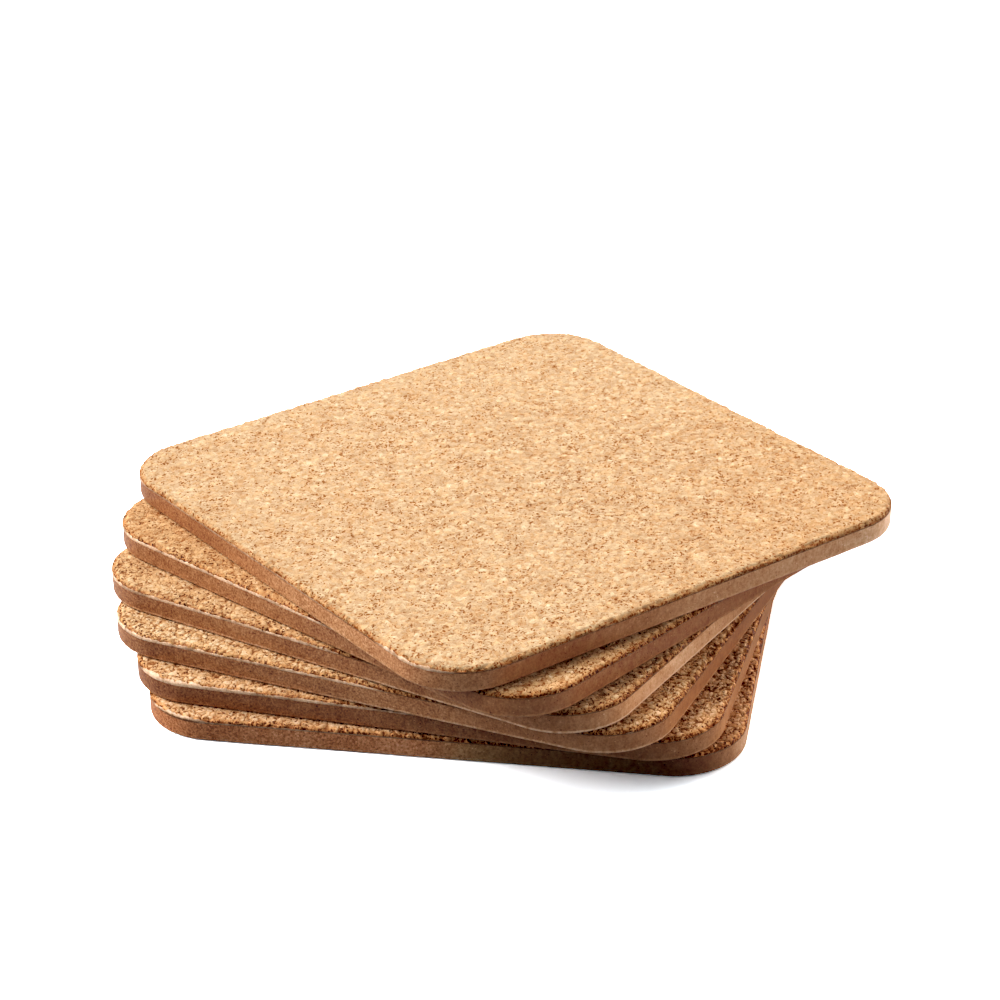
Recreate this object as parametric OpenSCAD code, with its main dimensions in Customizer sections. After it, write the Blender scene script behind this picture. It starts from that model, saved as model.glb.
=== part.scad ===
// Stack of six square drink coasters, fanned out by hand.
// Each coaster is a wood-fibre board with a thin sheet of agglomerated cork
// bonded on top. The board's lower arris is eased and the cork's upper arris
// is rubbed down, so nothing on the coaster has a sharp edge.
// Units are millimetres. +Z is up. The origin is the centre of the underside
// of the bottom coaster, whose sides lie along X and Y.

/* [Coaster] */
// Side of the square coaster
side = 95; // [85:1:110]
// Radius of the four corners, seen from above
corner_r = 11.5; // [6:0.5:20]

/* [Base board] */
// Thickness of the wood-fibre board
board_t = 3.2; // [2.4:0.1:5]
// Width and height of the eased lower arris
board_ease = 0.5; // [0.2:0.1:1]

/* [Cork facing] */
// Thickness of the adhesive film between board and cork
film_t = 0.1; // [0.05:0.05:0.2]
// Thickness of the cork sheet
cork_t = 0.7; // [0.6:0.1:3]
// How far in from the side the cork's rubbed-down upper arris starts
cork_ease_in = 1.0; // [0.4:0.1:2]
// How far down the cork's rubbed-down upper arris reaches
cork_ease_down = 0.5; // [0.2:0.1:0.5]

/* [Fan: turn of each coaster] */
// Turn of coaster 2 against the bottom coaster, in degrees
turn_2 = -5.1; // [-45:0.1:45]
// Turn of coaster 3 against the bottom coaster, in degrees
turn_3 = -14.2; // [-45:0.1:45]
// Turn of coaster 4 against the bottom coaster, in degrees
turn_4 = -21.9; // [-45:0.1:45]
// Turn of coaster 5 against the bottom coaster, in degrees
turn_5 = -32.3; // [-45:0.1:45]
// Turn of coaster 6 against the bottom coaster, in degrees
turn_6 = -43.5; // [-45:0.1:45]

/* [Fan: slip of each coaster along X] */
// Sideways slip of coaster 2
slip_x_2 = 0.2; // [-10:0.1:10]
// Sideways slip of coaster 3
slip_x_3 = 0.1; // [-10:0.1:10]
// Sideways slip of coaster 4
slip_x_4 = 0.5; // [-10:0.1:10]
// Sideways slip of coaster 5
slip_x_5 = 2.9; // [-10:0.1:10]
// Sideways slip of coaster 6
slip_x_6 = 4.3; // [-10:0.1:10]

/* [Fan: slip of each coaster along Y] */
// Fore and aft slip of coaster 2
slip_y_2 = 0.5; // [-10:0.1:10]
// Fore and aft slip of coaster 3
slip_y_3 = -0.2; // [-10:0.1:10]
// Fore and aft slip of coaster 4
slip_y_4 = 1.1; // [-10:0.1:10]
// Fore and aft slip of coaster 5
slip_y_5 = 1.0; // [-10:0.1:10]
// Fore and aft slip of coaster 6
slip_y_6 = 1.6; // [-10:0.1:10]

/* [Colours] */
// Colour of the board's edge
board_colour = "#96694B"; // ["#96694B":Mid brown, "#7A5238":Dark brown, "#B08560":Light brown]
// Colour of the dried adhesive
film_colour = "#D9B79A"; // ["#D9B79A":Pale tan, "#C9A27E":Tan]
// Colour of the cork
cork_colour = "#E0B27C"; // ["#E0B27C":Light cork, "#C98F55":Dark cork]

/* [Hidden] */
$fn = 96;

// Height of the two seams within a coaster, and of the whole coaster,
// which is also the pitch of the stack
film_z = board_t;
cork_z = board_t + film_t;
coaster_t = board_t + film_t + cork_t;
// Where each coaster of the fan lies, bottom one first
turns = [0, turn_2, turn_3, turn_4, turn_5, turn_6];
slips = [
    [0, 0], [slip_x_2, slip_y_2], [slip_x_3, slip_y_3],
    [slip_x_4, slip_y_4], [slip_x_5, slip_y_5], [slip_x_6, slip_y_6]
];
// Distance of the corners' centres from the coaster's middle
corner_c = side / 2 - corner_r;
// A side left square, for the layers' arrises that aren't eased
square_arris = [0, 0];
// Steps of an eased arris, in degrees
ease_step = 15;

// Puts a coaster at its place in the fan. Level 1 is the bottom one.
module in_fan(level) {
    translate([slips[level - 1][0], slips[level - 1][1], (level - 1) * coaster_t])
        rotate([0, 0, turns[level - 1]])
            children();
}

// Quarter round at the foot of an edge that stands at x = w.
// ease is [how far in, how far up].
function foot(w, ease) = ease[0] > 0
    ? [for (a = [0 : ease_step : 90]) [w - ease[0] * (1 - sin(a)), ease[1] * (1 - cos(a))]]
    : [[w, 0]];

// Quarter round at the head of an edge that stands at x = w and is t high.
// ease is [how far in, how far down].
function head(w, t, ease) = ease[0] > 0
    ? [for (a = [0 : ease_step : 90]) [w - ease[0] * (1 - cos(a)), t - ease[1] * (1 - sin(a))]]
    : [[w, t]];

// Section through a layer from x = 0 out to its edge at x = w
function section(w, t, low, high) = concat([[0, 0]], foot(w, low), head(w, t, high), [[0, t]]);

// The same section with its mirror image to the left of x = 0
function full_section(w, t, low, high) =
    let (right = concat(foot(w, low), head(w, t, high)), n = len(right))
    concat(right, [for (i = [n - 1 : -1 : 0]) [-right[i][0], right[i][1]]]);

// One layer of a coaster: a square plate, t thick, with round corners and
// with its lower and upper arris eased by low and high
module layer(t, low, high) {
    union() {
        // Middle, from the front edge to the back edge
        translate([-corner_c, 0, 0]) rotate([90, 0, 90])
            linear_extrude(height = 2 * corner_c)
                polygon(full_section(side / 2, t, low, high));
        // Left and right strips between the corners
        for (turn = [0, 180]) rotate([0, 0, turn])
            translate([corner_c, corner_c, 0]) rotate([90, 0, 0])
                linear_extrude(height = 2 * corner_c)
                    polygon(section(corner_r, t, low, high));
        // Corners
        for (turn = [0 : 90 : 270]) rotate([0, 0, turn])
            translate([corner_c, corner_c, 0])
                rotate_extrude(angle = 90)
                    polygon(section(corner_r, t, low, high));
    }
}

// Wood-fibre board, with an eased lower arris
module base_board(level) {
    color(board_colour) in_fan(level)
        layer(board_t, [board_ease, board_ease], square_arris);
}

// Dried adhesive that bonds the cork to the board, out to their common edge
module adhesive_film(level) {
    color(film_colour) in_fan(level) translate([0, 0, film_z])
        layer(film_t, square_arris, square_arris);
}

// Agglomerated cork sheet that the glass stands on, with a rubbed-down arris
module cork_sheet(level) {
    color(cork_colour) in_fan(level) translate([0, 0, cork_z])
        layer(cork_t, square_arris, [cork_ease_in, cork_ease_down]);
}

base_board(1);  // base_board_1
adhesive_film(1);  // adhesive_film_1
cork_sheet(1);  // cork_sheet_1
base_board(2);  // base_board_2
adhesive_film(2);  // adhesive_film_2
cork_sheet(2);  // cork_sheet_2
base_board(3);  // base_board_3
adhesive_film(3);  // adhesive_film_3
cork_sheet(3);  // cork_sheet_3
base_board(4);  // base_board_4
adhesive_film(4);  // adhesive_film_4
cork_sheet(4);  // cork_sheet_4
base_board(5);  // base_board_5
adhesive_film(5);  // adhesive_film_5
cork_sheet(5);  // cork_sheet_5
base_board(6);  // base_board_6
adhesive_film(6);  // adhesive_film_6
cork_sheet(6);  // cork_sheet_6
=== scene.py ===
import math

import bmesh
import bpy
import numpy as np
from mathutils import Matrix, Vector


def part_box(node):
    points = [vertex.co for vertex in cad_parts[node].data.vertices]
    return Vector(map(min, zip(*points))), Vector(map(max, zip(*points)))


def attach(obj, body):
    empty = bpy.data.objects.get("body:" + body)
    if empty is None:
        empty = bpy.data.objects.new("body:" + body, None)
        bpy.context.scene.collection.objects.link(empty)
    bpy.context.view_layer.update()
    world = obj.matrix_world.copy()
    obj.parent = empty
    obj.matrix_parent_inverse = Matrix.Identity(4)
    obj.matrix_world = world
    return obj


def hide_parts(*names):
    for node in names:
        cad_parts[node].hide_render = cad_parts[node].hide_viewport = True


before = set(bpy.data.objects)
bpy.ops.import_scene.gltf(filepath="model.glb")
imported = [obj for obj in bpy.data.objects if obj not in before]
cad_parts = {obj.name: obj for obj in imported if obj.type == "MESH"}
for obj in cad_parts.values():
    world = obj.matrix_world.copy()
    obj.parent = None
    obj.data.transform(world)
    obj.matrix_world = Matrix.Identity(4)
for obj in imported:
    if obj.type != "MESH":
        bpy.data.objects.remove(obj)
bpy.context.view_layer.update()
scene = bpy.context.scene

# ---------------------------------------------------------------------------
# Sizes, in metres. They repeat the CAD model's own numbers.
# ---------------------------------------------------------------------------
MM = 0.001
SIDE, CORNER = 95 * MM, 11.5 * MM
HALF = SIDE / 2
BOARD_T, FILM_T, CORK_T = 3.2 * MM, 0.1 * MM, 0.7 * MM
BOARD_EASE = 0.5 * MM
CORK_IN, CORK_DOWN = 1.0 * MM, 0.5 * MM
PITCH = BOARD_T + FILM_T + CORK_T
TURN = [0.0, -5.1, -14.2, -21.9, -32.3, -43.5]
SLIP = [(0, 0), (0.2, 0.5), (0.1, -0.2), (0.5, 1.1), (2.9, 1.0), (4.3, 1.6)]
LEVELS = range(1, 7)

for k in LEVELS:  # the fan above has to be the CAD model's
    lo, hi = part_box(f"base_board_{k}")
    a = math.radians(abs(TURN[k - 1]) % 90)
    reach = (HALF - CORNER) * (math.cos(a) + math.sin(a)) + CORNER
    x, y = SLIP[k - 1][0] * MM, SLIP[k - 1][1] * MM
    off = max(abs(hi.x - x - reach), abs(lo.y - y + reach), abs(lo.z - (k - 1) * PITCH))
    if off > 0.1 * MM:
        raise ValueError(f"coaster {k} is {off * 1000:.2f} mm off its CAD place")


def placed(k, pts):
    """Points of coaster k, given in its own frame, at its place in the fan."""
    a = math.radians(TURN[k - 1])
    c, s = math.cos(a), math.sin(a)
    x, y = SLIP[k - 1]
    return np.column_stack(
        [
            c * pts[:, 0] - s * pts[:, 1] + x * MM,
            s * pts[:, 0] + c * pts[:, 1] + y * MM,
            pts[:, 2] + (k - 1) * PITCH,
        ]
    )


def turned(k, vecs):
    """Directions of coaster k, given in its own frame, in the fan."""
    a = math.radians(TURN[k - 1])
    c, s = math.cos(a), math.sin(a)
    return np.column_stack(
        [c * vecs[:, 0] - s * vecs[:, 1], s * vecs[:, 0] + c * vecs[:, 1], vecs[:, 2]]
    )


# ---------------------------------------------------------------------------
# Node helpers. They serve shader trees, geometry trees and the world alike.
# ---------------------------------------------------------------------------
class Tree:
    def __init__(self, nt):
        self.nt = nt

    def node(self, kind, **props):
        n = self.nt.nodes.new(kind)
        for key, value in props.items():
            setattr(n, key, value)
        return n

    def put(self, socket, value):
        if isinstance(value, bpy.types.NodeSocket):
            self.nt.links.new(value, socket)
        elif value is not None:
            socket.default_value = value

    def math(self, op, a, b=None, c=None, clamp=False):
        n = self.node("ShaderNodeMath", operation=op, use_clamp=clamp)
        for i, v in enumerate((a, b, c)):
            if v is not None:
                self.put(n.inputs[i], v)
        return n.outputs[0]

    def add(self, *terms):
        """Sum of sockets and numbers."""
        out = terms[0]
        for v in terms[1:]:
            out = self.math("ADD", out, v)
        return out

    def mul(self, *terms):
        """Product of sockets and numbers."""
        out = terms[0]
        for v in terms[1:]:
            out = self.math("MULTIPLY", out, v)
        return out

    def sub(self, a, b):
        return self.math("SUBTRACT", a, b)

    def vec(self, op, a, b=None, scale=None):
        n = self.node("ShaderNodeVectorMath", operation=op)
        self.put(n.inputs[0], a)
        if b is not None:
            self.put(n.inputs[1], b)
        if scale is not None:
            self.put(n.inputs["Scale"], scale)
        scalar = op in ("LENGTH", "DOT_PRODUCT", "DISTANCE")
        return n.outputs["Value" if scalar else "Vector"]

    def step(self, v, lo, hi, to_lo=0.0, to_hi=1.0):
        """Smooth step of v from lo to hi."""
        n = self.node("ShaderNodeMapRange", interpolation_type="SMOOTHSTEP")
        for name, value in (
            ("Value", v), ("From Min", lo), ("From Max", hi), ("To Min", to_lo), ("To Max", to_hi),
        ):
            self.put(n.inputs[name], value)
        return n.outputs["Result"]

    def noise(self, v, scale, detail=2.0, rough=0.5, distortion=0.0, out=0):
        n = self.node("ShaderNodeTexNoise", noise_dimensions="3D")
        self.put(n.inputs["Vector"], v)
        self.put(n.inputs["Scale"], scale)
        self.put(n.inputs["Detail"], detail)
        self.put(n.inputs["Roughness"], rough)
        self.put(n.inputs["Distortion"], distortion)
        return n.outputs[out]

    def voronoi(self, v, scale, feature="F1", rand=1.0):
        n = self.node("ShaderNodeTexVoronoi", voronoi_dimensions="3D", feature=feature)
        self.put(n.inputs["Vector"], v)
        self.put(n.inputs["Scale"], scale)
        self.put(n.inputs["Randomness"], rand)
        return n

    def split(self, color):
        n = self.node("ShaderNodeSeparateXYZ")
        self.put(n.inputs[0], color)
        return n.outputs

    def mix(self, fac, a, b, blend="MIX"):
        n = self.node("ShaderNodeMix", data_type="RGBA", blend_type=blend, clamp_factor=True)
        self.put(n.inputs["Factor"], fac)
        self.put(n.inputs[6], a)
        self.put(n.inputs[7], b)
        return n.outputs[2]

    def lerp(self, fac, a, b):
        n = self.node("ShaderNodeMix", data_type="FLOAT", clamp_factor=True)
        self.put(n.inputs["Factor"], fac)
        self.put(n.inputs[2], a)
        self.put(n.inputs[3], b)
        return n.outputs[0]

    def ramp(self, fac, stops):
        n = self.node("ShaderNodeValToRGB")
        el = n.color_ramp.elements
        while len(el) < len(stops):
            el.new(0.5)
        for e, (p, c) in zip(el, stops):
            e.position, e.color = p, (*c, 1.0)
        self.put(n.inputs[0], fac)
        return n.outputs[0]


def material(name):
    m = bpy.data.materials.new(name)
    m.use_nodes = True
    m.node_tree.nodes.clear()
    t = Tree(m.node_tree)
    return m, t


def object_mm(t):
    """The point being shaded, in millimetres, in the row frame at rest."""
    return t.vec("SCALE", t.node("ShaderNodeTexCoord").outputs["Object"], scale=1000.0)


def centred(t, v):
    return t.vec("SUBTRACT", v, (0.5, 0.5, 0.5))


# ---------------------------------------------------------------------------
# Cork as a field in space, shared by the relief of the mesh and by the colour
# ---------------------------------------------------------------------------
GRAIN = [0.95, 0.95, 0.98, 1.05, 1.20, 1.40]  # granules to the millimetre, coaster 1 to 6
RELIEF = [1.3, 1.3, 1.3, 1.2, 0.95, 0.55]  # how rough the face is
GAPS = [0.90, 0.90, 0.85, 0.65, 0.45, 0.0]  # how wide the gaps between granules are
# How dark the crevices are painted: partly their own colour, partly painted shade in them, more on the lower sheets
CRACK_SHADE = [0.90, 0.90, 0.88, 0.84, 0.72, 0.34]  # how dark they are


def cork_space(t, p):
    """p bent a little, so that no granule has straight sides."""
    p = t.vec("MULTIPLY", p, (1.0, 0.85, 0.7))
    a = t.vec("SCALE", centred(t, t.noise(p, 0.9, 2.0, 0.5, 0.0, 1)), scale=1.2)
    b = t.vec("SCALE", centred(t, t.noise(p, 3.3, 2.0, 0.6, 0.0, 1)), scale=0.20)
    return t.vec("ADD", t.vec("ADD", p, a), b)


def relief_fields(t, p, k):
    """What the mesh of cork k needs at p, by name."""
    q = cork_space(t, p)
    g = GRAIN[k - 1]
    one = t.voronoi(q, g)
    rnd = t.split(one.outputs["Color"])
    return {
        "rx": rnd[0],
        "ry": rnd[1],
        "rz": rnd[2],
        "edge": t.voronoi(q, g, "DISTANCE_TO_EDGE").outputs["Distance"],
        "mid": t.noise(q, 1.2, 2.0, 0.5),
        "wide": t.noise(p, 0.35, 2.0, 0.5),
    }


def board_fields(t, p, k):
    return {"wide": t.noise(p, 0.12, 2.0, 0.5), "mid": t.noise(p, 0.9, 2.0, 0.5)}


def film_fields(t, p, k):
    return {
        "wide": t.noise(p, 0.22, 2.0, 0.5),
        "mid": t.noise(p, 0.9, 2.0, 0.5),
        "fine": t.noise(p, 2.2, 2.0, 0.5),
    }


def sample(points, fields, k):
    """Values of fields(t, p, k) at points in metres, worked out by Blender's own textures."""
    me = bpy.data.meshes.new("probe")
    me.vertices.add(len(points))
    me.vertices.foreach_set("co", np.ascontiguousarray(points, np.float32).ravel())
    ob = bpy.data.objects.new("probe", me)
    scene.collection.objects.link(ob)
    ng = bpy.data.node_groups.new("probe", "GeometryNodeTree")
    ng.interface.new_socket("Geometry", in_out="INPUT", socket_type="NodeSocketGeometry")
    ng.interface.new_socket("Geometry", in_out="OUTPUT", socket_type="NodeSocketGeometry")
    t = Tree(ng)
    geo = t.node("NodeGroupInput").outputs[0]
    p = t.vec("SCALE", t.node("GeometryNodeInputPosition").outputs[0], scale=1000.0)
    names = []
    for name, socket in fields(t, p, k).items():
        st = t.node("GeometryNodeStoreNamedAttribute", data_type="FLOAT", domain="POINT")
        t.put(st.inputs["Geometry"], geo)
        t.put(st.inputs["Name"], name)
        t.put(st.inputs["Value"], socket)
        geo = st.outputs[0]
        names.append(name)
    t.put(t.node("NodeGroupOutput").inputs[0], geo)
    ob.modifiers.new("probe", "NODES").node_group = ng
    got = ob.evaluated_get(bpy.context.evaluated_depsgraph_get()).data
    out = {}
    for name in names:
        v = np.empty(len(points), np.float32)
        got.attributes[name].data.foreach_get("value", v)
        out[name] = v.astype(float)
    bpy.data.objects.remove(ob)
    bpy.data.meshes.remove(me)
    bpy.data.node_groups.remove(ng)
    return out


# ---------------------------------------------------------------------------
# Mesh helpers
# ---------------------------------------------------------------------------
def ease(v, lo, hi):
    x = np.clip((v - lo) / (hi - lo), 0, 1)
    return x * x * (3 - 2 * x)


def outline(half, r, frac):
    """Points of a rounded square at frac of the way round, from the middle of its +X side, and their outward normals."""
    c = half - r
    quarter = 2 * c + math.pi * r / 2  # middle of one side to the middle of the next
    s = np.mod(frac, 1.0) * 4
    turn = np.floor(s).astype(int) % 4
    u = (s - np.floor(s)) * quarter
    x, y = np.empty_like(u), np.empty_like(u)
    nx, ny = np.empty_like(u), np.empty_like(u)
    a, b = u <= c, u >= c + math.pi * r / 2
    x[a], y[a], nx[a], ny[a] = half, u[a], 1, 0
    m = ~a & ~b
    w = (u[m] - c) / max(r, 1e-12)
    nx[m], ny[m] = np.cos(w), np.sin(w)
    x[m], y[m] = c + r * nx[m], c + r * ny[m]
    v = u[b] - c - math.pi * r / 2
    x[b], y[b], nx[b], ny[b] = c - v, half, 0, 1
    co, si = np.array([1, 0, -1, 0])[turn], np.array([0, 1, 0, -1])[turn]
    return (
        np.stack([co * x - si * y, si * x + co * y], 1),
        np.stack([co * nx - si * ny, si * nx + co * ny], 1),
    )


def grid_cap(n, half, r):
    """A square grid bent to fill a rounded square: its points, its faces, and its border in order from frac 0."""
    g = np.arange(-n, n + 1)
    a, b = (v.ravel().astype(float) for v in np.meshgrid(g, g, indexing="ij"))
    ring = np.maximum(abs(a), abs(b))
    m = 8 * np.maximum(ring, 1e-9)
    right, top, left = a == ring, b == ring, a == -ring
    f = np.where(
        right,
        b / m,
        np.where(top, 0.25 - a / m, np.where(left, 0.5 - b / m, 0.75 + a / m)),
    )
    f[ring == 0] = 0
    pts = np.zeros((len(ring), 2))
    for i in range(1, n + 1):
        sel = ring == i
        pts[sel] = outline(half * i / n, r * i / n, f[sel])[0]
    w = 2 * n + 1
    i = np.arange(w * w).reshape(w, w)
    faces = np.stack([i[:-1, :-1], i[1:, :-1], i[1:, 1:], i[:-1, 1:]], -1).reshape(-1, 4)
    edge = np.where(ring == n)[0]
    return pts, faces, edge[np.argsort(np.mod(f[edge], 1.0), kind="stable")]


def bands(rings):
    """Quads between successive closed loops of vertex numbers, each of the same length."""
    out = []
    for a, b in zip(rings[:-1], rings[1:]):
        out.append(np.stack([a, b, np.roll(b, -1), np.roll(a, -1)], 1))
    return [tuple(int(v) for v in f) for f in np.concatenate(out)]


def thin_out(fine, coarse):
    """Faces between a loop of vertex numbers and one of a third as many."""
    out, n = [], len(coarse)
    for j in range(n):
        f = [int(fine[(3 * j + i) % len(fine)]) for i in range(-1, 3)]
        c0, c1 = int(coarse[j]), int(coarse[(j + 1) % n])
        out += [(f[0], c0, f[1]), (f[1], c0, f[2]), (f[2], c0, c1, f[3])]
    return out


class Shell:
    """A closed piece made of a fine cap, rings down its side and a coarser cap."""

    def __init__(self):
        self.pts, self.nrm, self.faces, self.count = [], [], [], 0

    def add(self, xy, z, nrm):
        z = np.broadcast_to(z, (len(xy),))
        self.pts.append(np.column_stack([xy, z]))
        self.nrm.append(np.broadcast_to(nrm, (len(xy), 3)))
        first = self.count
        self.count += len(xy)
        return np.arange(first, self.count)

    def cap(self, n, half, r, z, up):
        xy, faces, edge = grid_cap(n, half, r)
        ids = self.add(xy, z, (0, 0, 1.0 if up else -1.0))
        faces = faces if up else faces[:, ::-1]
        self.faces += [tuple(int(v) for v in f) for f in faces + ids[0]]
        return ids[edge]

    def ring(self, half, r, z, frac, out, up):
        """A loop at half and r, whose normals point out and up by those shares."""
        xy, n2 = outline(half, r, frac)
        length = math.hypot(out, up) or 1.0
        return self.add(xy, z, np.column_stack([n2 * out / length, np.full(len(xy), up / length)]))

    def loose_ring(self, xy, z, nrm):
        return self.add(xy, z, nrm)

    def points(self):
        return np.concatenate(self.pts), np.concatenate(self.nrm)


def make_mesh(name, verts, faces, smooth=True):
    me = bpy.data.meshes.new(name)
    me.from_pydata([tuple(v) for v in verts], [], faces)
    me.validate()
    bm = bmesh.new()
    bm.from_mesh(me)
    bmesh.ops.recalc_face_normals(bm, faces=bm.faces)
    bm.to_mesh(me)
    bm.free()
    if smooth:
        me.polygons.foreach_set("use_smooth", [True] * len(me.polygons))
    me.update()
    ob = bpy.data.objects.new(name, me)
    scene.collection.objects.link(ob)
    return ob


def attribute(ob, name, values):
    a = ob.data.attributes.new(name, "FLOAT", "POINT")
    a.data.foreach_set("value", np.ascontiguousarray(values, np.float32))


def install(ob, k, node, mat):
    ob.data.materials.append(mat)
    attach(ob, f"coaster_{k}")
    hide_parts(f"{node}_{k}")


# ---------------------------------------------------------------------------
# Camera, at the photograph's viewpoint, lens and roll
# ---------------------------------------------------------------------------
cam_data = bpy.data.cameras.new("camera")
cam = bpy.data.objects.new("camera", cam_data)
scene.collection.objects.link(cam)
cam_data.sensor_width = 36.0
cam_data.lens = 107.86
cam_data.clip_start, cam_data.clip_end = 0.01, 20.0
yaw, tilt, roll = math.radians(10.235), math.radians(26.579), math.radians(-0.952)
cam.matrix_world = (
    Matrix.Translation((0.08123, -0.43415, 0.24198))
    @ Matrix.Rotation(yaw, 4, "Z")
    @ Matrix.Rotation(math.pi / 2 - tilt, 4, "X")
    @ Matrix.Rotation(roll, 4, "Z")
)
scene.camera = cam

# ---------------------------------------------------------------------------
# Stage: a white floor in a white tent that is open, and dark, in front
# ---------------------------------------------------------------------------
view = scene.view_settings
view.view_transform = "Standard"
view.look = "None"
view.use_curve_mapping = True
curve = view.curve_mapping
curve.extend = "EXTRAPOLATED"
TOES, CONTRAST = (0.035, 0.021, 0.010), 1.15  # red, green, blue
marks = [0.0, 0.010, 0.021, 0.035, 0.05, 0.1, 0.2, 0.35, 0.55, 0.8, 1.0]
for line, toe in zip(curve.curves, TOES):
    for i, x in enumerate(marks):
        y = (max(x - toe, 0.0) / (1 - toe)) ** CONTRAST
        if i == 0:
            line.points[0].location = (x, y)
        elif i == len(marks) - 1:
            line.points[-1].location = (x, y)
        else:
            line.points.new(x, y)
curve.update()

# the floor is overexposed, as in a cut-out photograph, and shows like that in the lacquer too
FLOOR_SEEN, FLOOR_GLOSS, FLOOR_BOUNCE = (2.38, 2.55, 2.70), 0.45, 0.32
floor_mat, t = material("floor")
path = t.node("ShaderNodeLightPath")
seen, mirrored = path.outputs["Is Camera Ray"], path.outputs["Is Glossy Ray"]
grain = t.noise(object_mm(t), 0.05, 2.0)
colour = t.node("ShaderNodeCombineXYZ")
for i in range(3):
    shade = t.lerp(seen, t.lerp(mirrored, FLOOR_BOUNCE, FLOOR_GLOSS), FLOOR_SEEN[i])
    t.put(colour.inputs[i], t.mul(shade, t.step(grain, 0.2, 0.8, 0.995, 1.005)))
bsdf = t.node("ShaderNodeBsdfDiffuse")
t.put(bsdf.inputs["Color"], colour.outputs[0])
t.put(t.node("ShaderNodeOutputMaterial").inputs["Surface"], bsdf.outputs[0])
floor = make_mesh(
    "floor",
    [(-4, -4, -0.00002), (4, -4, -0.00002), (4, 4, -0.00002), (-4, 4, -0.00002)],
    [(0, 1, 2, 3)],
    smooth=False,
)
if floor.data.polygons[0].normal.z < 0:
    floor.data.flip_normals()
floor.data.materials.append(floor_mat)

# Brightness of the tent every 45 degrees round, from +X, near the floor, 20 degrees up and 50 degrees up
TENT = [
    (-3.0, [12.5, 14.0, 14.0, 0.02, 0.02, 0.02, 0.02, 0.02]),
    (20.0, [0.02, 5.5, 3.8, 1.4, 8.3, 0.05, 0.05, 0.02]),
    (50.0, [0.02, 0.02, 0.02, 5.3, 14.0, 0.05, 0.35, 0.02]),
    (90.0, [0.02] * 8),
]
TENT_MAX = 14.0
world = bpy.data.worlds.new("studio")
scene.world = world
world.use_nodes = True
world.node_tree.nodes.clear()
t = Tree(world.node_tree)
way = t.split(t.node("ShaderNodeTexCoord").outputs["Generated"])
round_ = t.math("DIVIDE", t.math("ARCTAN2", way[1], way[0]), 2 * math.pi)
round_ = t.math("FRACT", t.add(round_, 1.0))
height = t.mul(t.math("ARCSINE", way[2]), 180 / math.pi)
level = None
for (low_at, low), (high_at, high) in zip(TENT[:-1], TENT[1:]):
    if level is None:
        level = t.ramp(round_, [(i / 8, (v / TENT_MAX,) * 3) for i, v in enumerate(low + low[:1])])
    upper = t.ramp(round_, [(i / 8, (v / TENT_MAX,) * 3) for i, v in enumerate(high + high[:1])])
    share = t.math("DIVIDE", t.sub(height, low_at), high_at - low_at, clamp=True)
    level = t.mix(share, level, upper)
background = t.node("ShaderNodeBackground")
camera_ray = t.node("ShaderNodeLightPath").outputs["Is Camera Ray"]
t.put(background.inputs["Color"], t.mix(camera_ray, level, (1, 1, 1, 1)))
t.put(background.inputs["Strength"], t.lerp(camera_ray, TENT_MAX, 1.1))
t.put(t.node("ShaderNodeOutputWorld").inputs["Surface"], background.outputs[0])


# ---------------------------------------------------------------------------
# Materials
# ---------------------------------------------------------------------------
# Colour of cork by brightness: what is darker is also deeper in colour
CORK_RAMP = [
    (0.10, (0.072, 0.021, 0.006)),
    (0.20, (0.121, 0.040, 0.012)),
    (0.40, (0.242, 0.102, 0.038)),
    (0.60, (0.355, 0.183, 0.081)),
    (0.80, (0.460, 0.277, 0.139)),
    (1.00, (0.563, 0.376, 0.211)),
    (1.15, (0.636, 0.478, 0.312)),
    (1.35, (0.725, 0.570, 0.405)),
    (1.65, (0.790, 0.665, 0.510)),
]
# Each sheet's brightness and tint. Besides the cork's own colour this is painted light: the lower sheets are painted
# lighter and redder than the top one, for the light that reaches them in the stack
CORK_TONE_AND_PAINTED_LIGHT = [1.23, 1.18, 1.17, 1.02, 0.94, 0.835]
CORK_TINT_AND_PAINTED_LIGHT = [(1.04, 0.95, 0.88), (1.04, 0.99, 0.94), (1.01, 1.00, 0.96), (1.00, 1.01, 1.00), (1.01, 1.01, 0.98), (0.93, 1.075, 1.24)]


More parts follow.
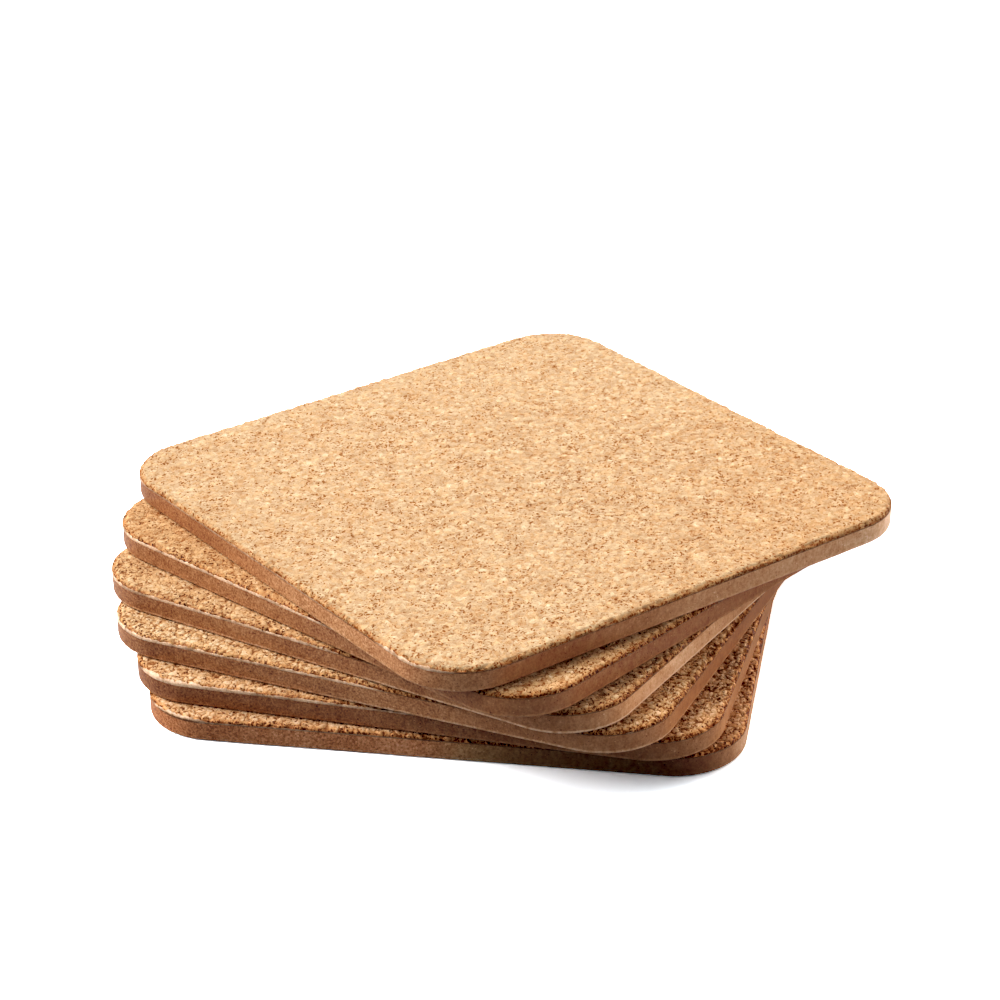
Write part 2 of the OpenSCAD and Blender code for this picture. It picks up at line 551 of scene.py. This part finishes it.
def cork_material(k):
    m, t = material(f"cork_{k}")
    p = object_mm(t)
    q = cork_space(t, p)
    g, gaps = GRAIN[k - 1], GAPS[k - 1]
    arris = t.node("ShaderNodeAttribute", attribute_name="arris").outputs["Fac"]
    one = t.voronoi(q, g)
    r1 = t.split(one.outputs["Color"])
    e1 = t.voronoi(q, g, "DISTANCE_TO_EDGE").outputs["Distance"]
    two = t.voronoi(q, 3.0 - 0.5 * gaps)
    three = t.voronoi(q, 0.75)
    r3 = t.split(three.outputs["Color"])
    d3 = t.step(three.outputs["Distance"], 0.56, 0.36)
    r2 = t.split(two.outputs["Color"])
    d2 = two.outputs["Distance"]
    low = t.noise(p, 0.13, 2.0, 0.5)
    mid = t.noise(q, 1.2, 2.0, 0.5)
    fine = t.noise(p, 7.0 - 2.6 * gaps, 2.0, 0.7)
    speck = t.noise(q, 3.3 - 0.9 * gaps, 2.0, 0.6)
    rim = t.step(arris, 0.05, 0.45)
    foot = t.step(arris, 0.55, 0.85)

    # tone of the granules
    tone = t.add(
        CORK_TONE_AND_PAINTED_LIGHT[k - 1],
        t.mul(t.sub(r1[0], 0.5), 0.20 if k < 6 else 0.17),
        t.mul(t.sub(r2[0], 0.5), 0.12),
        t.mul(t.sub(mid, 0.5), -0.22),
        t.mul(t.sub(fine, 0.5), 0.36 - 0.16 * gaps if k < 6 else 0.30),
        t.mul(t.sub(low, 0.5), 0.12),
        t.mul(t.step(r3[0], 0.74, 0.78), d3, 0.09 if k > 3 else 0.06),
        t.mul(t.step(r3[0], 0.12, 0.08), d3, -0.10),
        t.mul(t.step(r1[1], 0.90, 0.93), 0.04),
        t.mul(t.step(r1[1], 0.09, 0.06), -0.10),
    )
    # crevices between granules, open in places only, darkened by painted shade as well as their own colour, more so on
    # the right-hand side, and dark flecks of bark
    open_ = t.step(mid, 0.42, 0.62)
    crack_shade = t.mul(
        t.sub(1.0, t.step(e1, 0.0, 0.10 + 0.13 * gaps)),
        t.lerp(open_, 0.15 + 0.15 * gaps, 0.85 + 0.15 * gaps),
        t.mul(t.step(t.split(p)[0], -30.0, 5.0, 0.80, 1.0), CRACK_SHADE[k - 1]),
    )
    crack2 = t.mul(t.step(d2, 0.42, 0.60), t.lerp(open_, 0.02, 0.30 - 0.16 * gaps), CRACK_SHADE[k - 1])
    cluster = t.step(t.noise(p, 0.22, 2.0, 0.5), 0.44, 0.62)
    often = t.add(0.04, t.mul(cluster, 0.19), t.mul(open_, 0.06 + 0.06 * gaps), t.mul(rim, 0.15), t.mul(foot, 0.26))
    bark = t.mul(t.step(t.sub(often, r2[1]), 0.0, 0.01), t.step(d2, 0.66, 0.30) if k < 6 else t.step(d2, 0.74, 0.40))
    bark = t.math("MAXIMUM", bark, t.mul(t.step(speck, 0.57, 0.67), 0.60 + 0.22 * gaps))
    # granules that have come out of the arris leave pits, painted dark as the shade in them; on the top sheet they are
    # painted darker to the right, where they lie in shade
    beads = t.mul(t.step(arris, 0.45, 0.65), t.step(r2[2], 0.46, 0.40), t.step(d2, 0.66, 0.42))
    pit = t.math("MAXIMUM", beads, t.mul(t.step(arris, 0.30, 0.60), t.step(r1[2], 0.22, 0.17), 0.6))
    pit = t.mul(pit, 0.85 if k < 6 else t.step(t.split(p)[0], -5.0, 10.0, 0.45, 0.74))
    dark = t.math("MAXIMUM", t.math("MAXIMUM", crack_shade, crack2), t.math("MAXIMUM", t.mul(bark, 0.95 if k < 6 else 0.84), pit), clamp=True)
    if k == 6:
        dark = t.mul(dark, t.step(t.split(p)[1], 55.0, -5.0, 0.66, 1.0))
    tone = t.mul(tone, t.sub(1.0, t.mul(dark, 0.90 if k < 6 else 0.69)))
    # the rubbed-down arris has drunk lacquer, which deepens its colour, and the right-hand ends of the sheets are
    # painted lighter and redder, standing in for warm light bounced between boards and cork there
    tone = t.mul(tone, t.sub(1.0, t.add(t.mul(rim, 0.16 if k < 6 else 0.02), t.mul(foot, 0.12 if k < 6 else 0.08))))
    end = t.mul(t.step(t.split(p)[0], 5.0, 35.0), 0.9 * gaps)
    tone = t.mul(tone, t.add(1.0, t.mul(end, [0.02, 0.09, 0.06, 0.11, 0.20, 0.11][k - 1])))
    colour = t.ramp(t.math("DIVIDE", tone, 1.7), [(v / 1.7, c) for v, c in CORK_RAMP])
    colour = t.mix(1.0, colour, (*CORK_TINT_AND_PAINTED_LIGHT[k - 1], 1), "MULTIPLY")
    colour = t.mix(t.mul(t.step(tone, 0.70, 0.30), t.step(k, 3, 6)), colour, t.mix(1.0, colour, (1.05, 0.85, 0.53, 1), "MULTIPLY"))
    colour = t.mix(end, colour, t.mix(1.0, colour, (1.09, 0.94, 0.81, 1), "MULTIPLY"))

    if k == 6:
        colour = t.mix(t.step(t.split(p)[0], 15.0, 60.0), colour, t.mix(1.0, colour, (0.97, 0.91, 0.84, 1), "MULTIPLY"))
        colour = t.mix(rim, colour, t.mix(1.0, colour, (1.06, 0.99, 0.92, 1), "MULTIPLY"))
    warm = t.math("MAXIMUM", t.mul(t.step(r1[2], 0.50, 0.70), 0.35 if k < 6 else 0.6), t.mul(rim, 0.75))
    colour = t.mix(warm, colour, t.mix(1.0, colour, (1.04, 0.92, 0.76, 1), "MULTIPLY"))

    b = t.node("ShaderNodeBsdfPrincipled")
    t.put(b.inputs["Base Color"], colour)
    t.put(b.inputs["Roughness"], t.step(fine, 0.3, 0.7, 0.65, 0.9))
    b.inputs["Specular IOR Level"].default_value = 0.06
    t.put(b.inputs["Coat Weight"], t.mul(rim, t.step(mid, 0.35, 0.6), 0.10))
    b.inputs["Coat Roughness"].default_value = 0.28
    b.inputs["Coat IOR"].default_value = 1.5
    bump = t.node("ShaderNodeBump")
    bump.inputs["Strength"].default_value = 0.6
    bump.inputs["Distance"].default_value = 0.0001 + 0.00004 * gaps
    lift = t.add(
        t.mul(r2[2], 0.30), t.mul(d2, -0.35), t.mul(t.step(e1, 0.0, 0.32), 0.40 + 0.35 * gaps, t.step(t.split(p)[0], -30.0, 5.0, 0.5, 1.0)),
        t.mul(fine, 0.5 - 0.2 * gaps), t.mul(bark, -0.4 if k < 6 else -0.3),
    )
    t.put(bump.inputs["Height"], lift)
    t.put(b.inputs["Normal"], bump.outputs[0])
    t.put(t.node("ShaderNodeOutputMaterial").inputs["Surface"], b.outputs[0])
    return m


# Colour of the board by brightness
BOARD_RAMP = [
    (0.15, (0.047, 0.0150, 0.0055)),
    (0.40, (0.136, 0.0475, 0.0200)),
    (0.70, (0.260, 0.1045, 0.0445)),
    (1.00, (0.362, 0.1690, 0.0730)),
    (1.30, (0.472, 0.2480, 0.1220)),
    (1.80, (0.640, 0.4000, 0.2400)),
    (2.00, (0.720, 0.4950, 0.3350)),
]
# How light each board is painted, at shares of the way round: painted light and shade for how the light falls on each
# side, darker on the back sides, with a painted shadow on board 1's front and a painted highlight at board 6's right
# corner
BOARD_PAINTED_LIGHT = {
    1: [(0.02, 1.00), (0.20, 0.68), (0.55, 0.68), (0.65, 1.26), (0.70, 1.40), (0.735, 1.55), (0.786, 0.95), (0.83, 0.75), (0.867, 0.80), (0.90, 1.72), (0.95, 1.50)],
    2: [(0.02, 1.00), (0.20, 0.68), (0.55, 0.68), (0.65, 0.82), (0.72, 0.88), (0.80, 0.93), (0.90, 1.10), (0.95, 1.08)],
    3: [(0.05, 0.85), (0.20, 0.68), (0.55, 0.68), (0.67, 0.95), (0.80, 1.10), (0.865, 1.12), (0.93, 0.87)],
    4: [(0.00, 1.20), (0.10, 0.85), (0.20, 0.68), (0.55, 0.68), (0.68, 0.98), (0.80, 1.02), (0.868, 1.10), (0.935, 1.68)],
    5: [(0.10, 0.85), (0.20, 0.68), (0.55, 0.68), (0.68, 1.03), (0.80, 0.95), (0.93, 0.84)],
    6: [(0.03, 1.32), (0.087, 1.46), (0.122, 2.00), (0.16, 1.45), (0.22, 0.75), (0.55, 0.68), (0.66, 0.84), (0.69, 0.88), (0.78, 1.14), (0.84, 1.18), (0.88, 1.10), (0.91, 0.77), (0.965, 1.12)],
}
ARRIS_WEAR_AND_HIGHLIGHT = [0.25, 0.30, 0.60, 0.80, 0.30, 0.20]  # how pale the lower arris is: rubbed wear and a painted highlight


def board_material(k):
    m, t = material(f"wood_fibre_{k}")
    p = object_mm(t)
    low = t.noise(p, 0.09, 2.0, 0.5)
    mid = t.noise(p, 0.8, 3.0, 0.55)
    grit = t.noise(p, 3.0, 3.0, 0.68)
    fibre = t.noise(t.vec("MULTIPLY", p, (2.6, 2.6, 0.9)), 1.0, 3.0, 0.6)
    dots = t.voronoi(p, 2.3)
    rd = t.split(dots.outputs["Color"])
    tone = t.add(
        1.0,
        t.mul(t.sub(low, 0.5), 0.45),
        t.mul(t.sub(mid, 0.5), 0.5),
        t.mul(t.sub(grit, 0.5), t.step(t.split(p)[0], -20.0, 25.0, 2.6, 0.8)),
        t.mul(t.sub(fibre, 0.5), 0.3),
        t.mul(t.sub(rd[2], 0.5), 0.10),
    )
    near = t.step(dots.outputs["Distance"], 0.32, 0.16)
    pale = t.mul(near, t.step(rd[0], 0.90, 0.93))
    black = t.mul(near, t.step(rd[0], 0.12, 0.09))
    tone = t.add(tone, t.mul(pale, 0.45), t.mul(black, -0.42))
    # a paler lower arris: rubbed wear and a painted highlight
    arris_wear_and_highlight = t.node("ShaderNodeAttribute", attribute_name="arris_wear_and_highlight").outputs["Fac"]
    arris_wear_and_highlight = t.mul(t.step(arris_wear_and_highlight, 0.15, 0.8), t.step(mid, 0.30, 0.55, 0.5, 1.0))
    tone = t.add(tone, t.mul(arris_wear_and_highlight, ARRIS_WEAR_AND_HIGHLIGHT[k - 1]))
    # the shade attribute is painted light and shade round the board
    tone = t.mul(tone, t.node("ShaderNodeAttribute", attribute_name="shade").outputs["Fac"], 0.5)
    colour = t.ramp(tone, [(v / 2, c) for v, c in BOARD_RAMP])
    # On board 1 the colour of its painted light and shade is tinted by place: greener on the shaded front, redder at
    # the left end, bluer at the right corner and redder again at the back
    if k == 1:
        tint = t.mix(t.step(t.split(p)[0], 9.0, -3.0), (0.98, 1.16, 1.16, 1), (1.04, 0.87, 0.76, 1))
        tint = t.mix(t.step(t.split(p)[0], 30.0, 42.0), tint, (1.01, 1.02, 1.08, 1))
        tint = t.mix(t.step(t.split(p)[1], -40.0, -25.0), tint, (1.02, 0.95, 0.95, 1))
        colour = t.mix(1.0, colour, tint, "MULTIPLY")
    b = t.node("ShaderNodeBsdfPrincipled")
    t.put(b.inputs["Base Color"], colour)
    t.put(b.inputs["Roughness"], t.step(grit, 0.3, 0.7, 0.38, 0.52))
    b.inputs["Specular IOR Level"].default_value = 0.10
    t.put(b.inputs["Coat Weight"], t.step(mid, 0.2, 0.7, 0.13, 0.26))
    b.inputs["Coat Roughness"].default_value = 0.16
    b.inputs["Coat IOR"].default_value = 1.5
    bump = t.node("ShaderNodeBump")
    bump.inputs["Strength"].default_value = 0.5
    bump.inputs["Distance"].default_value = 0.00003
    t.put(bump.inputs["Height"], t.add(t.mul(grit, 0.9), t.mul(fibre, 0.3), t.mul(mid, 1.0)))
    t.put(b.inputs["Normal"], bump.outputs[0])
    t.put(t.node("ShaderNodeOutputMaterial").inputs["Surface"], b.outputs[0])
    return m


def film_material():
    m, t = material("dried_adhesive")
    p = object_mm(t)
    pale = t.node("ShaderNodeAttribute", attribute_name="pale").outputs["Fac"]
    mid = t.noise(p, 1.6, 3.0, 0.6)
    fine = t.noise(p, 5.0, 2.0, 0.6)
    v = t.add(0.5, t.mul(t.sub(mid, 0.5), 0.9), t.mul(t.sub(fine, 0.5), 0.6))
    clear = t.ramp(v, [(0.2, (0.105, 0.045, 0.018)), (0.5, (0.235, 0.115, 0.052)), (0.8, (0.370, 0.205, 0.105))])
    # the milky colour is partly the adhesive's own and partly a painted highlight along the seam
    milky = t.ramp(v, [(0.2, (0.480, 0.290, 0.165)), (0.5, (0.720, 0.505, 0.340)), (0.8, (0.840, 0.680, 0.540))])
    b = t.node("ShaderNodeBsdfPrincipled")
    t.put(b.inputs["Base Color"], t.mix(pale, clear, milky))
    t.put(b.inputs["Roughness"], t.step(fine, 0.3, 0.7, 0.22, 0.38))
    b.inputs["Specular IOR Level"].default_value = 0.06
    t.put(b.inputs["Coat Weight"], t.lerp(pale, 0.0, 0.10))
    b.inputs["Coat Roughness"].default_value = 0.14
    bump = t.node("ShaderNodeBump")
    bump.inputs["Strength"].default_value = 0.6
    bump.inputs["Distance"].default_value = 0.00005
    t.put(bump.inputs["Height"], t.add(mid, t.mul(fine, 0.5)))
    t.put(b.inputs["Normal"], bump.outputs[0])
    t.put(t.node("ShaderNodeOutputMaterial").inputs["Surface"], b.outputs[0])
    return m


# ---------------------------------------------------------------------------
# Cork sheets: a fine, rough face, a crumbled arris, a cut edge and a flat back
# ---------------------------------------------------------------------------
ARRIS_RINGS = 6


def arris_angles(count):
    """Angles that cut the quarter ellipse of the cork's arris into equal lengths."""
    a = np.linspace(0, math.pi / 2, 400)
    x, z = CORK_IN * np.sin(a), CORK_DOWN * np.cos(a)
    s = np.concatenate([[0], np.cumsum(np.hypot(np.diff(x), np.diff(z)))])
    return np.interp(np.arange(1, count + 1) / count * s[-1], s, a)


def cork_piece(k):
    n = 144
    zt, zb = PITCH, BOARD_T + FILM_T
    frac = np.arange(8 * n) / (8 * n)
    sh = Shell()
    loops = [sh.cap(n, HALF - CORK_IN, CORNER - CORK_IN, zt, True)]
    arris = [np.zeros(sh.count)]
    for i, a in enumerate(arris_angles(ARRIS_RINGS)):
        inset, down = CORK_IN * (1 - math.sin(a)), CORK_DOWN * (1 - math.cos(a))
        loops.append(
            sh.ring(HALF - inset, CORNER - inset, zt - down, frac, math.sin(a) / CORK_IN, math.cos(a) / CORK_DOWN)
        )
        arris.append(np.full(len(frac), 0.85 * (i + 1) / ARRIS_RINGS))
    loops.append(sh.ring(HALF, CORNER, zb, frac, 1, 0))
    arris.append(np.ones(len(frac)))
    sh.faces += bands(loops)
    third = np.arange(8 * n // 3) / (8 * n // 3)
    one = sh.ring(HALF - 0.5 * MM, CORNER - 0.5 * MM, zb, third, 0, -1)
    sh.faces += thin_out(loops[-1], one)
    two = sh.cap(n // 9, HALF - 1.6 * MM, CORNER - 1.6 * MM, zb, False)
    sh.faces += thin_out(one, two)
    pts, nrm = sh.points()
    arris = np.concatenate(arris + [np.ones(len(pts) - sum(len(v) for v in arris))])
    pts, nrm = placed(k, pts), turned(k, nrm)
    f = sample(pts, relief_fields, k)
    free = (arris < 0.999) & (np.arange(len(pts)) < loops[-1][0])
    crown = ease(f["edge"], 0.0, 0.26)
    gap = ease(f["mid"], 0.40, 0.62)
    flat = (
        -(1 - crown) * (0.03 + 0.15 * gap)
        - (1 - f["rx"]) * 0.045
        - ease(f["mid"], 0.60, 0.72) * 0.06
    ) * RELIEF[k - 1] * (0.50 + 0.50 * ease(pts[:, 0], -30 * MM, 5 * MM))
    lost = ease(0.28 - f["rz"], 0.0, 0.05)  # granules that have come out of the arris
    rough = (f["ry"] - 0.66) * 0.16 - (1 - crown) * 0.14 - lost * 0.20 * (0.5 + crown)
    share = ease(arris, 0.0, 0.45)
    h = np.where(free, flat * (1 - share) + rough * share, 0.0) * MM
    pts = pts + nrm * h[:, None]
    pts[:, 2] = np.minimum(pts[:, 2], k * PITCH)
    ob = make_mesh(f"cork_face_{k}", pts, sh.faces)
    attribute(ob, "arris", arris)
    install(ob, k, "cork_sheet", cork_material(k))
    return ob


# ---------------------------------------------------------------------------
# Base boards: lacquered wood-fibre board with an eased lower arris
# ---------------------------------------------------------------------------
def board_piece(k):
    n = 96
    frac = np.arange(8 * n) / (8 * n)
    third = np.arange(8 * n // 3) / (8 * n // 3)
    sh = Shell()
    back = sh.cap(n // 3, HALF - 2.2 * MM, CORNER - 2.2 * MM, 0.0, False)
    loops = [sh.ring(HALF - BOARD_EASE, CORNER - BOARD_EASE, 0.0, frac, 0, -1)]
    sh.faces += thin_out(loops[0], back)
    # how much of the painted highlight and wear each ring of the lower arris takes
    arris_wear_and_highlight = np.zeros(sh.count)
    for a, w in zip(np.radians([15, 30, 45, 60, 75, 90]), (0.4, 0.9, 1.0, 1.0, 0.95, 0.65)):
        inset, up = BOARD_EASE * (1 - math.sin(a)), BOARD_EASE * (1 - math.cos(a))
        loops.append(sh.ring(HALF - inset, CORNER - inset, up, frac, math.sin(a), -math.cos(a)))
        arris_wear_and_highlight = np.append(arris_wear_and_highlight, np.full(len(frac), w))
    for z in np.linspace(BOARD_EASE, BOARD_T, 12)[1:-1]:
        loops.append(sh.ring(HALF, CORNER, z, frac, 1, 0))
    loops.append(sh.ring(HALF - 0.005 * MM, CORNER, BOARD_T - 0.03 * MM, frac, 1, 0.1))
    loops.append(sh.ring(HALF - 0.03 * MM, CORNER, BOARD_T, frac, 0.6, 1))
    sh.faces += bands(loops)
    top = sh.cap(n // 3, HALF - 2.2 * MM, CORNER - 2.2 * MM, BOARD_T, True)
    sh.faces += thin_out(loops[-1], top)
    pts, nrm = sh.points()
    side = (pts[:, 2] > 0.01 * MM) & (pts[:, 2] < BOARD_T - 0.01 * MM)
    flat_at = pts[:, :2].copy()
    pts, nrm = placed(k, pts), turned(k, nrm)
    f = sample(pts, board_fields, k)
    h = ((f["wide"] - 0.5) * 0.10 + (f["mid"] - 0.5) * 0.035 - 0.01) * MM
    pts = pts + nrm * np.where(side, h, 0.0)[:, None]
    ob = make_mesh(f"fibre_board_{k}", pts, sh.faces)
    attribute(ob, "arris_wear_and_highlight", np.append(arris_wear_and_highlight, np.zeros(len(pts) - len(arris_wear_and_highlight))))
    # painted light and shade round the board, kept in its shade attribute
    at, tones = zip(*BOARD_PAINTED_LIGHT[k])
    angle = np.arctan2(flat_at[:, 1], flat_at[:, 0]) / (2 * math.pi)
    attribute(ob, "shade", np.interp(np.mod(angle, 1.0), at, tones, period=1.0))
    install(ob, k, "base_board", board_material(k))
    return ob


# ---------------------------------------------------------------------------
# Adhesive: a thin sheet that has crept out of the seam and up over the arris
# ---------------------------------------------------------------------------
# Where the adhesive lies broad, mostly on the lit left-hand sides: its middle and half length as shares of the way
# round, how far up it reaches in mm, how milky it is and above which share of its reach it is milky. The milky colour
# is partly the adhesive's own and partly a painted highlight along the seam
SMEARS_AND_HIGHLIGHTS = {
    1: [(0.636, 0.018, 1.00, 1.0, 0.30), (0.690, 0.060, 0.12, 0.35, 0.0)],
    2: [(0.642, 0.022, 1.20, 1.0, 0.0), (0.675, 0.055, 0.60, 0.9, 0.0), (0.715, 0.045, 0.40, 0.8, 0.0)],
    3: [(0.645, 0.050, 0.50, 1.0, 0.0), (0.630, 0.022, 0.75, 1.0, 0.0), (0.720, 0.050, 0.40, 0.9, 0.0)],
    4: [(0.665, 0.085, 0.42, 0.9, 0.0), (0.620, 0.020, 0.45, 1.0, 0.0), (0.740, 0.020, 0.45, 0.9, 0.0)],
    5: [(0.690, 0.100, 0.44, 1.0, 0.0), (0.640, 0.030, 0.50, 1.0, 0.0)],
    6: [(0.855, 0.026, 0.60, 0.8, 0.0), (0.720, 0.100, 0.16, 0.35, 0.0), (0.620, 0.030, 0.30, 0.6, 0.0)],
}


def arris_point(s):
    """Inset, height above the seam and normal (out, up) at s along the cork's edge from the seam."""
    rise = CORK_T - CORK_DOWN
    a = np.linspace(0, math.pi / 2, 200)
    x, z = CORK_IN * (1 - np.cos(a)), CORK_DOWN * np.sin(a)
    arc = np.concatenate([[0], np.cumsum(np.hypot(np.diff(x), np.diff(z)))])
    e = np.clip(s - rise, 0, arc[-1])
    ang = np.interp(e, arc, a)
    inset = CORK_IN * (1 - np.cos(ang))
    z = np.minimum(s, rise) + CORK_DOWN * np.sin(ang)
    out, up = np.cos(ang) / CORK_IN, np.sin(ang) / CORK_DOWN
    length = np.hypot(out, up)
    return inset, z, out / length, up / length


def film_piece(k):
    m = 1536
    frac = np.arange(m) / m
    xy, n2 = outline(HALF, CORNER, frac)
    seam = placed(k, np.column_stack([xy, np.full(m, BOARD_T + FILM_T)]))
    f = sample(seam, film_fields, k)
    reach = 0.03 + 0.10 * ease(f["mid"], 0.40, 0.7)
    pale = 0.15 * ease(f["wide"], 0.50, 0.65) * ease(f["fine"], 0.42, 0.60)
    start = np.zeros(m)
    # broad smears of adhesive, milky where a painted highlight runs along the seam as well
    for middle, half_length, size, milky, above in SMEARS_AND_HIGHLIGHTS[k]:
        d = np.abs(np.mod(frac - middle + 0.5, 1.0) - 0.5) / half_length
        here = 1 - ease(d, 0.45, 1.0)
        reach = np.maximum(reach, size * here * (0.66 + 1.4 * (f["mid"] - 0.45) + 1.2 * (f["fine"] - 0.5)))
        pale = np.maximum(pale, milky * ease(here, 0.0, 0.5) * (0.50 + 0.50 * ease(0.6 * f["wide"] + 0.4 * f["mid"], 0.42, 0.54)))
        start = np.maximum(start, above * here)
    reach = np.clip(reach + 0.12 * (f["fine"] - 0.5), 0.02, 1.05) * MM
    foot = (0.015 + 0.05 * pale * ease(f["fine"], 0.4, 0.7)) * MM
    proud = (0.006 + 0.045 * pale * ease(f["mid"], 0.35, 0.7)) * MM
    sh = Shell()
    up3 = lambda out, up: np.column_stack([n2 * np.reshape(out, (-1, 1)), np.broadcast_to(up, (m,))])

    def line(inset, z, out, up):
        inset = np.broadcast_to(inset, (m,))
        return sh.loose_ring(xy - n2 * inset[:, None], z, up3(np.broadcast_to(out, (m,)), up))

    rows = [line(0.45 * MM, BOARD_T, 0, -1), line(0.02 * MM, BOARD_T - foot, 0.2, -1)]
    rows.append(line(-proud * 0.7, BOARD_T - foot * 0.6, 1, -0.3))
    low = pale * (1 - ease(start, 0.1, 0.3))
    tone = [low, low, low]
    for s in (0.0, 0.2, 0.4, 0.6, 0.8, 0.93, 1.0):
        tone.append(low + (pale - low) * ease(s - start, 0.0, 0.15))
        inset, z, out, up = arris_point(reach * s)
        t_here = np.where(s < 1, proud * (1 - s * s * 0.55), -0.06 * MM)
        rows.append(line(inset - out * t_here, BOARD_T + FILM_T + z + up * t_here, out, up))
    rows.append(line(0.45 * MM, BOARD_T + FILM_T, 0, 1))
    tone = np.concatenate([*tone, low])
    sh.faces += bands(rows)
    # the flat sheet between board and cork
    third = np.arange(m // 3) / (m // 3)
    caps = []
    for z, up in ((BOARD_T, False), (BOARD_T + FILM_T, True)):
        ring = sh.ring(HALF - 1.0 * MM, CORNER - 1.0 * MM, z, third, 0, 1 if up else -1)
        edge = sh.cap(m // 8 // 3 // 4, HALF - 4 * MM, CORNER - 4 * MM, z, up)
        caps.append((ring, edge))
    sh.faces += thin_out(rows[0], caps[0][0])
    sh.faces += thin_out(rows[-1], caps[1][0])
    for ring, edge in caps:
        step = len(ring) // len(edge)
        for j in range(len(edge)):
            chunk = [int(ring[(step * j + i) % len(ring)]) for i in range(step + 1)]
            sh.faces.append((*chunk, int(edge[(j + 1) % len(edge)]), int(edge[j])))
    pts, nrm = sh.points()
    ob = make_mesh(f"adhesive_line_{k}", placed(k, pts), sh.faces)
    attribute(ob, "pale", np.concatenate([tone, np.zeros(len(pts) - len(tone))]))
    install(ob, k, "adhesive_film", film)
    return ob


film = film_material()
for k in LEVELS:
    board_piece(k)
    film_piece(k)
    cork_piece(k)
